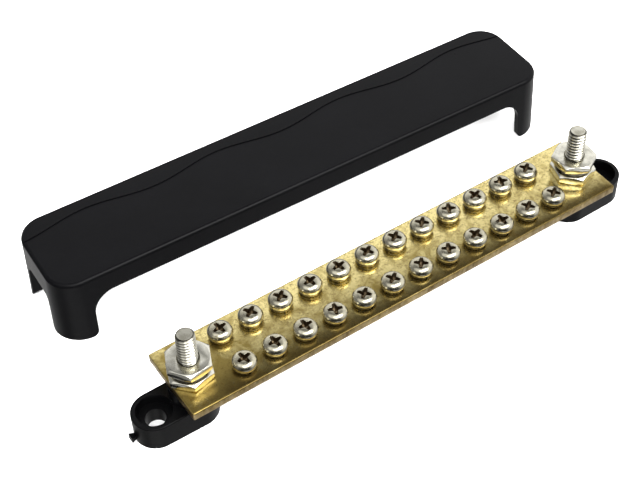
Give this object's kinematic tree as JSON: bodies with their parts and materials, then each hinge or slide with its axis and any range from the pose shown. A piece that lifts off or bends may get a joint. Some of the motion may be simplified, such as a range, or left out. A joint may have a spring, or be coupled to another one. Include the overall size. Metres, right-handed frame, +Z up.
{
  "type": "covered terminal bus bar",
  "caption": "Brass distribution bus bar on two insulating feet, with two rows of screw terminals, a threaded stud at each end and a lift-off insulating cover.",
  "frame": {"origin": "on the mounting surface, midway between the two mounting holes", "axes": "+X along the bar towards the right-hand stud, +Z up from the mounting surface, +Y towards the removed cover"},
  "size_m": [0.2019, 0.0974, 0.0376],
  "materials": {
    "black_plastic": "fine satin moulding texture",
    "brass": "rolled and stained brass, saw-cut edges",
    "plated_stud": "bright rolled thread",
    "plated_nut": "nickel plated, fine turned faces",
    "washer_steel": "plain bright steel",
    "screw_steel": "bright plated, cold-headed"
  },
  "bodies": {
    "base": {"bus_bar": "brass", "foot_left": "black_plastic", "stud_left": "plated_stud", "fixing_nut_left": "plated_nut", "foot_right": "black_plastic", "stud_right": "plated_stud", "fixing_nut_right": "plated_nut"},
    "cover": {"cover": "black_plastic"},
    "lock_washer_left": {"lock_washer_left": "washer_steel"},
    "terminal_nut_left": {"terminal_nut_left": "plated_nut"},
    "lock_washer_right": {"lock_washer_right": "washer_steel"},
    "terminal_nut_right": {"terminal_nut_right": "plated_nut"},
    "washer_back_01": {"spring_washer_back_01": "washer_steel"},
    "screw_back_01": {"terminal_screw_back_01": "screw_steel"},
    "washer_back_02": {"spring_washer_back_02": "washer_steel"},
    "screw_back_02": {"terminal_screw_back_02": "screw_steel"},
    "washer_back_03": {"spring_washer_back_03": "washer_steel"},
    "screw_back_03": {"terminal_screw_back_03": "screw_steel"},
    "washer_back_04": {"spring_washer_back_04": "washer_steel"},
    "screw_back_04": {"terminal_screw_back_04": "screw_steel"},
    "washer_back_05": {"spring_washer_back_05": "washer_steel"},
    "screw_back_05": {"terminal_screw_back_05": "screw_steel"},
    "washer_back_06": {"spring_washer_back_06": "washer_steel"},
    "screw_back_06": {"terminal_screw_back_06": "screw_steel"},
    "washer_back_07": {"spring_washer_back_07": "washer_steel"},
    "screw_back_07": {"terminal_screw_back_07": "screw_steel"},
    "washer_back_08": {"spring_washer_back_08": "washer_steel"},
    "screw_back_08": {"terminal_screw_back_08": "screw_steel"},
    "washer_back_09": {"spring_washer_back_09": "washer_steel"},
    "screw_back_09": {"terminal_screw_back_09": "screw_steel"},
    "washer_back_10": {"spring_washer_back_10": "washer_steel"},
    "screw_back_10": {"terminal_screw_back_10": "screw_steel"},
    "washer_back_11": {"spring_washer_back_11": "washer_steel"},
    "screw_back_11": {"terminal_screw_back_11": "screw_steel"},
    "washer_back_12": {"spring_washer_back_12": "washer_steel"},
    "screw_back_12": {"terminal_screw_back_12": "screw_steel"},
    "washer_front_01": {"spring_washer_front_01": "washer_steel"},
    "screw_front_01": {"terminal_screw_front_01": "screw_steel"},
    "washer_front_02": {"spring_washer_front_02": "washer_steel"},
    "screw_front_02": {"terminal_screw_front_02": "screw_steel"},
    "washer_front_03": {"spring_washer_front_03": "washer_steel"},
    "screw_front_03": {"terminal_screw_front_03": "screw_steel"},
    "washer_front_04": {"spring_washer_front_04": "washer_steel"},
    "screw_front_04": {"terminal_screw_front_04": "screw_steel"},
    "washer_front_05": {"spring_washer_front_05": "washer_steel"},
    "screw_front_05": {"terminal_screw_front_05": "screw_steel"},
    "washer_front_06": {"spring_washer_front_06": "washer_steel"},
    "screw_front_06": {"terminal_screw_front_06": "screw_steel"},
    "washer_front_07": {"spring_washer_front_07": "washer_steel"},
    "screw_front_07": {"terminal_screw_front_07": "screw_steel"},
    "washer_front_08": {"spring_washer_front_08": "washer_steel"},
    "screw_front_08": {"terminal_screw_front_08": "screw_steel"},
    "washer_front_09": {"spring_washer_front_09": "washer_steel"},
    "screw_front_09": {"terminal_screw_front_09": "screw_steel"},
    "washer_front_10": {"spring_washer_front_10": "washer_steel"},
    "screw_front_10": {"terminal_screw_front_10": "screw_steel"},
    "washer_front_11": {"spring_washer_front_11": "washer_steel"},
    "screw_front_11": {"terminal_screw_front_11": "screw_steel"},
    "washer_front_12": {"spring_washer_front_12": "washer_steel"},
    "screw_front_12": {"terminal_screw_front_12": "screw_steel"}
  },
  "joints": [
    {"name": "cover_lift_over", "type": "slide", "parent": "base", "child": "cover", "axis": [0.0021, -0.8735, 0.4869], "range_m": [0, 0.0698]},
    {"name": "nut_left_turn", "type": "hinge", "parent": "lock_washer_left", "child": "terminal_nut_left", "pos_m": [-0.078, 0, 0.0233], "axis": [0, 0, 1], "range_deg": [0, 2160]},
    {"name": "nut_left_rise", "type": "slide", "parent": "base", "child": "lock_washer_left", "axis": [0, 0, 1], "range_m": [0, 0.00762]},
    {"name": "nut_right_turn", "type": "hinge", "parent": "lock_washer_right", "child": "terminal_nut_right", "pos_m": [0.078, 0, 0.0233], "axis": [0, 0, 1], "range_deg": [0, 2160]},
    {"name": "nut_right_rise", "type": "slide", "parent": "base", "child": "lock_washer_right", "axis": [0, 0, 1], "range_m": [0, 0.00762]},
    {"name": "screw_back_01_turn", "type": "hinge", "parent": "washer_back_01", "child": "screw_back_01", "pos_m": [-0.0627, 0.00733, 0.0197], "axis": [0, 0, 1], "range_deg": [0, 2160]},
    {"name": "screw_back_01_rise", "type": "slide", "parent": "base", "child": "washer_back_01", "axis": [0, 0, 1], "range_m": [0, 0.00476]},
    {"name": "screw_back_02_turn", "type": "hinge", "parent": "washer_back_02", "child": "screw_back_02", "pos_m": [-0.0513, 0.00733, 0.0197], "axis": [0, 0, 1], "range_deg": [0, 2160]},
    {"name": "screw_back_02_rise", "type": "slide", "parent": "base", "child": "washer_back_02", "axis": [0, 0, 1], "range_m": [0, 0.00476]},
    {"name": "screw_back_03_turn", "type": "hinge", "parent": "washer_back_03", "child": "screw_back_03", "pos_m": [-0.0399, 0.00733, 0.0197], "axis": [0, 0, 1], "range_deg": [0, 2160]},
    {"name": "screw_back_03_rise", "type": "slide", "parent": "base", "child": "washer_back_03", "axis": [0, 0, 1], "range_m": [0, 0.00476]},
    {"name": "screw_back_04_turn", "type": "hinge", "parent": "washer_back_04", "child": "screw_back_04", "pos_m": [-0.0285, 0.00733, 0.0197], "axis": [0, 0, 1], "range_deg": [0, 2160]},
    {"name": "screw_back_04_rise", "type": "slide", "parent": "base", "child": "washer_back_04", "axis": [0, 0, 1], "range_m": [0, 0.00476]},
    {"name": "screw_back_05_turn", "type": "hinge", "parent": "washer_back_05", "child": "screw_back_05", "pos_m": [-0.0171, 0.00733, 0.0197], "axis": [0, 0, 1], "range_deg": [0, 2160]},
    {"name": "screw_back_05_rise", "type": "slide", "parent": "base", "child": "washer_back_05", "axis": [0, 0, 1], "range_m": [0, 0.00476]},
    {"name": "screw_back_06_turn", "type": "hinge", "parent": "washer_back_06", "child": "screw_back_06", "pos_m": [-0.0057, 0.00733, 0.0197], "axis": [0, 0, 1], "range_deg": [0, 2160]},
    {"name": "screw_back_06_rise", "type": "slide", "parent": "base", "child": "washer_back_06", "axis": [0, 0, 1], "range_m": [0, 0.00476]},
    {"name": "screw_back_07_turn", "type": "hinge", "parent": "washer_back_07", "child": "screw_back_07", "pos_m": [0.0057, 0.00733, 0.0197], "axis": [0, 0, 1], "range_deg": [0, 2160]},
    {"name": "screw_back_07_rise", "type": "slide", "parent": "base", "child": "washer_back_07", "axis": [0, 0, 1], "range_m": [0, 0.00476]},
    {"name": "screw_back_08_turn", "type": "hinge", "parent": "washer_back_08", "child": "screw_back_08", "pos_m": [0.0171, 0.00733, 0.0197], "axis": [0, 0, 1], "range_deg": [0, 2160]},
    {"name": "screw_back_08_rise", "type": "slide", "parent": "base", "child": "washer_back_08", "axis": [0, 0, 1], "range_m": [0, 0.00476]},
    {"name": "screw_back_09_turn", "type": "hinge", "parent": "washer_back_09", "child": "screw_back_09", "pos_m": [0.0285, 0.00733, 0.0197], "axis": [0, 0, 1], "range_deg": [0, 2160]},
    {"name": "screw_back_09_rise", "type": "slide", "parent": "base", "child": "washer_back_09", "axis": [0, 0, 1], "range_m": [0, 0.00476]},
    {"name": "screw_back_10_turn", "type": "hinge", "parent": "washer_back_10", "child": "screw_back_10", "pos_m": [0.0399, 0.00733, 0.0197], "axis": [0, 0, 1], "range_deg": [0, 2160]},
    {"name": "screw_back_10_rise", "type": "slide", "parent": "base", "child": "washer_back_10", "axis": [0, 0, 1], "range_m": [0, 0.00476]},
    {"name": "screw_back_11_turn", "type": "hinge", "parent": "washer_back_11", "child": "screw_back_11", "pos_m": [0.0513, 0.00733, 0.0197], "axis": [0, 0, 1], "range_deg": [0, 2160]},
    {"name": "screw_back_11_rise", "type": "slide", "parent": "base", "child": "washer_back_11", "axis": [0, 0, 1], "range_m": [0, 0.00476]},
    {"name": "screw_back_12_turn", "type": "hinge", "parent": "washer_back_12", "child": "screw_back_12", "pos_m": [0.0627, 0.00733, 0.0197], "axis": [0, 0, 1], "range_deg": [0, 2160]},
    {"name": "screw_back_12_rise", "type": "slide", "parent": "base", "child": "washer_back_12", "axis": [0, 0, 1], "range_m": [0, 0.00476]},
    {"name": "screw_front_01_turn", "type": "hinge", "parent": "washer_front_01", "child": "screw_front_01", "pos_m": [-0.0627, -0.00733, 0.0197], "axis": [0, 0, 1], "range_deg": [0, 2160]},
    {"name": "screw_front_01_rise", "type": "slide", "parent": "base", "child": "washer_front_01", "axis": [0, 0, 1], "range_m": [0, 0.00476]},
    {"name": "screw_front_02_turn", "type": "hinge", "parent": "washer_front_02", "child": "screw_front_02", "pos_m": [-0.0513, -0.00733, 0.0197], "axis": [0, 0, 1], "range_deg": [0, 2160]},
    {"name": "screw_front_02_rise", "type": "slide", "parent": "base", "child": "washer_front_02", "axis": [0, 0, 1], "range_m": [0, 0.00476]},
    {"name": "screw_front_03_turn", "type": "hinge", "parent": "washer_front_03", "child": "screw_front_03", "pos_m": [-0.0399, -0.00733, 0.0197], "axis": [0, 0, 1], "range_deg": [0, 2160]},
    {"name": "screw_front_03_rise", "type": "slide", "parent": "base", "child": "washer_front_03", "axis": [0, 0, 1], "range_m": [0, 0.00476]},
    {"name": "screw_front_04_turn", "type": "hinge", "parent": "washer_front_04", "child": "screw_front_04", "pos_m": [-0.0285, -0.00733, 0.0197], "axis": [0, 0, 1], "range_deg": [0, 2160]},
    {"name": "screw_front_04_rise", "type": "slide", "parent": "base", "child": "washer_front_04", "axis": [0, 0, 1], "range_m": [0, 0.00476]},
    {"name": "screw_front_05_turn", "type": "hinge", "parent": "washer_front_05", "child": "screw_front_05", "pos_m": [-0.0171, -0.00733, 0.0197], "axis": [0, 0, 1], "range_deg": [0, 2160]},
    {"name": "screw_front_05_rise", "type": "slide", "parent": "base", "child": "washer_front_05", "axis": [0, 0, 1], "range_m": [0, 0.00476]},
    {"name": "screw_front_06_turn", "type": "hinge", "parent": "washer_front_06", "child": "screw_front_06", "pos_m": [-0.0057, -0.00733, 0.0197], "axis": [0, 0, 1], "range_deg": [0, 2160]},
    {"name": "screw_front_06_rise", "type": "slide", "parent": "base", "child": "washer_front_06", "axis": [0, 0, 1], "range_m": [0, 0.00476]},
    {"name": "screw_front_07_turn", "type": "hinge", "parent": "washer_front_07", "child": "screw_front_07", "pos_m": [0.0057, -0.00733, 0.0197], "axis": [0, 0, 1], "range_deg": [0, 2160]},
    {"name": "screw_front_07_rise", "type": "slide", "parent": "base", "child": "washer_front_07", "axis": [0, 0, 1], "range_m": [0, 0.00476]},
    {"name": "screw_front_08_turn", "type": "hinge", "parent": "washer_front_08", "child": "screw_front_08", "pos_m": [0.0171, -0.00733, 0.0197], "axis": [0, 0, 1], "range_deg": [0, 2160]},
    {"name": "screw_front_08_rise", "type": "slide", "parent": "base", "child": "washer_front_08", "axis": [0, 0, 1], "range_m": [0, 0.00476]},
    {"name": "screw_front_09_turn", "type": "hinge", "parent": "washer_front_09", "child": "screw_front_09", "pos_m": [0.0285, -0.00733, 0.0197], "axis": [0, 0, 1], "range_deg": [0, 2160]},
    {"name": "screw_front_09_rise", "type": "slide", "parent": "base", "child": "washer_front_09", "axis": [0, 0, 1], "range_m": [0, 0.00476]},
    {"name": "screw_front_10_turn", "type": "hinge", "parent": "washer_front_10", "child": "screw_front_10", "pos_m": [0.0399, -0.00733, 0.0197], "axis": [0, 0, 1], "range_deg": [0, 2160]},
    {"name": "screw_front_10_rise", "type": "slide", "parent": "base", "child": "washer_front_10", "axis": [0, 0, 1], "range_m": [0, 0.00476]},
    {"name": "screw_front_11_turn", "type": "hinge", "parent": "washer_front_11", "child": "screw_front_11", "pos_m": [0.0513, -0.00733, 0.0197], "axis": [0, 0, 1], "range_deg": [0, 2160]},
    {"name": "screw_front_11_rise", "type": "slide", "parent": "base", "child": "washer_front_11", "axis": [0, 0, 1], "range_m": [0, 0.00476]},
    {"name": "screw_front_12_turn", "type": "hinge", "parent": "washer_front_12", "child": "screw_front_12", "pos_m": [0.0627, -0.00733, 0.0197], "axis": [0, 0, 1], "range_deg": [0, 2160]},
    {"name": "screw_front_12_rise", "type": "slide", "parent": "base", "child": "washer_front_12", "axis": [0, 0, 1], "range_m": [0, 0.00476]}
  ],
  "couplings": [
    {"joint": "nut_left_turn", "follows": "nut_left_rise", "rad_per_m": 4947.4},
    {"joint": "nut_right_turn", "follows": "nut_right_rise", "rad_per_m": 4947.4},
    {"joint": "screw_back_01_turn", "follows": "screw_back_01_rise", "rad_per_m": 7913.3},
    {"joint": "screw_back_02_turn", "follows": "screw_back_02_rise", "rad_per_m": 7913.3},
    {"joint": "screw_back_03_turn", "follows": "screw_back_03_rise", "rad_per_m": 7913.3},
    {"joint": "screw_back_04_turn", "follows": "screw_back_04_rise", "rad_per_m": 7913.3},
    {"joint": "screw_back_05_turn", "follows": "screw_back_05_rise", "rad_per_m": 7913.3},
    {"joint": "screw_back_06_turn", "follows": "screw_back_06_rise", "rad_per_m": 7913.3},
    {"joint": "screw_back_07_turn", "follows": "screw_back_07_rise", "rad_per_m": 7913.3},
    {"joint": "screw_back_08_turn", "follows": "screw_back_08_rise", "rad_per_m": 7913.3},
    {"joint": "screw_back_09_turn", "follows": "screw_back_09_rise", "rad_per_m": 7913.3},
    {"joint": "screw_back_10_turn", "follows": "screw_back_10_rise", "rad_per_m": 7913.3},
    {"joint": "screw_back_11_turn", "follows": "screw_back_11_rise", "rad_per_m": 7913.3},
    {"joint": "screw_back_12_turn", "follows": "screw_back_12_rise", "rad_per_m": 7913.3},
    {"joint": "screw_front_01_turn", "follows": "screw_front_01_rise", "rad_per_m": 7913.3},
    {"joint": "screw_front_02_turn", "follows": "screw_front_02_rise", "rad_per_m": 7913.3},
    {"joint": "screw_front_03_turn", "follows": "screw_front_03_rise", "rad_per_m": 7913.3},
    {"joint": "screw_front_04_turn", "follows": "screw_front_04_rise", "rad_per_m": 7913.3},
    {"joint": "screw_front_05_turn", "follows": "screw_front_05_rise", "rad_per_m": 7913.3},
    {"joint": "screw_front_06_turn", "follows": "screw_front_06_rise", "rad_per_m": 7913.3},
    {"joint": "screw_front_07_turn", "follows": "screw_front_07_rise", "rad_per_m": 7913.3},
    {"joint": "screw_front_08_turn", "follows": "screw_front_08_rise", "rad_per_m": 7913.3},
    {"joint": "screw_front_09_turn", "follows": "screw_front_09_rise", "rad_per_m": 7913.3},
    {"joint": "screw_front_10_turn", "follows": "screw_front_10_rise", "rad_per_m": 7913.3},
    {"joint": "screw_front_11_turn", "follows": "screw_front_11_rise", "rad_per_m": 7913.3},
    {"joint": "screw_front_12_turn", "follows": "screw_front_12_rise", "rad_per_m": 7913.3}
  ]
}
